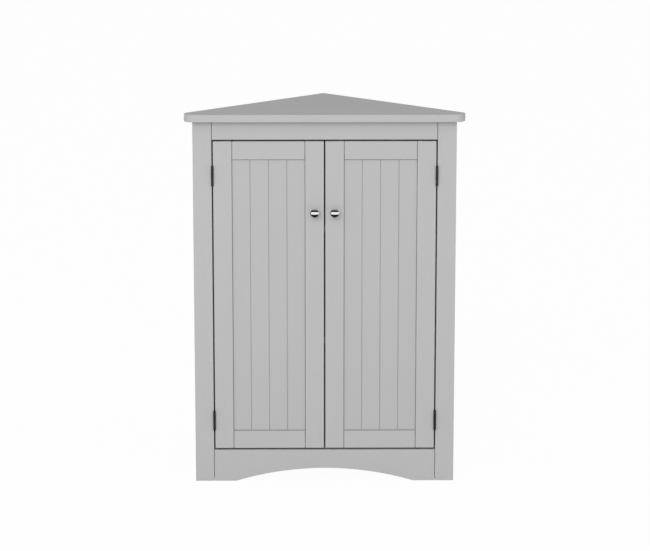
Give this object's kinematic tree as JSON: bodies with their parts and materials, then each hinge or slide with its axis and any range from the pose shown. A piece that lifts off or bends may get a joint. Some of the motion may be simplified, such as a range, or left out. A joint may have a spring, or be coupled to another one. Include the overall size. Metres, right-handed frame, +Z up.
{
  "type": "corner cupboard",
  "caption": "Floor-standing triangular corner cupboard with a face frame, inset beadboard doors on butt hinges, adjustable shelves and an arched apron.",
  "frame": {"origin": "on the floor, under the middle of the box that the cupboard fills", "axes": "+Z up, -Y out of the front through the doors, +Y towards the corner of the room, +X to the right seen from the front"},
  "size_m": [0.5898, 0.3292, 0.8],
  "materials": {
    "painted_board": "satin grey paint on board",
    "painted_beadboard": "satin grey paint on board",
    "black_steel": "satin black",
    "polished_chrome": "polished",
    "zinc_plated_steel": "bright zinc",
    "white_plastic": "moulded",
    "magnet_iron": "bare"
  },
  "bodies": {
    "carcass": {"worktop": "painted_board", "left_side_panel": "painted_board", "right_side_panel": "painted_board", "floor_panel": "painted_board", "lower_shelf": "painted_board", "upper_shelf": "painted_board", "left_stile": "painted_board", "right_stile": "painted_board", "top_rail": "painted_board", "arched_apron": "painted_board", "catch_block": "painted_board", "twin_catch": "white_plastic", "left_catch_magnet": "magnet_iron", "right_catch_magnet": "magnet_iron", "lower_shelf_pin_left_back": "zinc_plated_steel", "lower_shelf_pin_left_front": "zinc_plated_steel", "lower_shelf_pin_right_back": "zinc_plated_steel", "lower_shelf_pin_right_front": "zinc_plated_steel", "upper_shelf_pin_left_back": "zinc_plated_steel", "upper_shelf_pin_left_front": "zinc_plated_steel", "upper_shelf_pin_right_back": "zinc_plated_steel", "upper_shelf_pin_right_front": "zinc_plated_steel", "left_back_cam": "zinc_plated_steel", "left_front_cam": "zinc_plated_steel", "right_back_cam": "zinc_plated_steel", "right_front_cam": "zinc_plated_steel", "left_back_cam_bolt": "zinc_plated_steel", "left_front_cam_bolt": "zinc_plated_steel", "right_back_cam_bolt": "zinc_plated_steel", "right_front_cam_bolt": "zinc_plated_steel", "left_upper_frame_leaf": "black_steel", "left_lower_frame_leaf": "black_steel", "right_upper_frame_leaf": "black_steel", "right_lower_frame_leaf": "black_steel", "left_upper_hinge_pin": "black_steel", "left_lower_hinge_pin": "black_steel", "right_upper_hinge_pin": "black_steel", "right_lower_hinge_pin": "black_steel"},
    "left_door": {"left_door_hinge_stile": "painted_board", "left_door_meeting_stile": "painted_board", "left_door_top_rail": "painted_board", "left_door_bottom_rail": "painted_board", "left_door_panel": "painted_beadboard", "left_knob": "polished_chrome", "left_knob_screw": "zinc_plated_steel", "left_strike_plate": "zinc_plated_steel", "left_upper_door_leaf": "black_steel", "left_lower_door_leaf": "black_steel"},
    "right_door": {"right_door_hinge_stile": "painted_board", "right_door_meeting_stile": "painted_board", "right_door_top_rail": "painted_board", "right_door_bottom_rail": "painted_board", "right_door_panel": "painted_beadboard", "right_knob": "polished_chrome", "right_knob_screw": "zinc_plated_steel", "right_strike_plate": "zinc_plated_steel", "right_upper_door_leaf": "black_steel", "right_lower_door_leaf": "black_steel"}
  },
  "joints": [
    {"name": "left_door_swing", "type": "hinge", "parent": "carcass", "child": "left_door", "pos_m": [-0.23638, -0.14553, 0.402], "axis": [0, 0, -1], "range_deg": [0, 135]},
    {"name": "right_door_swing", "type": "hinge", "parent": "carcass", "child": "right_door", "pos_m": [0.23638, -0.14553, 0.402], "axis": [0, 0, 1], "range_deg": [0, 135]}
  ]
}
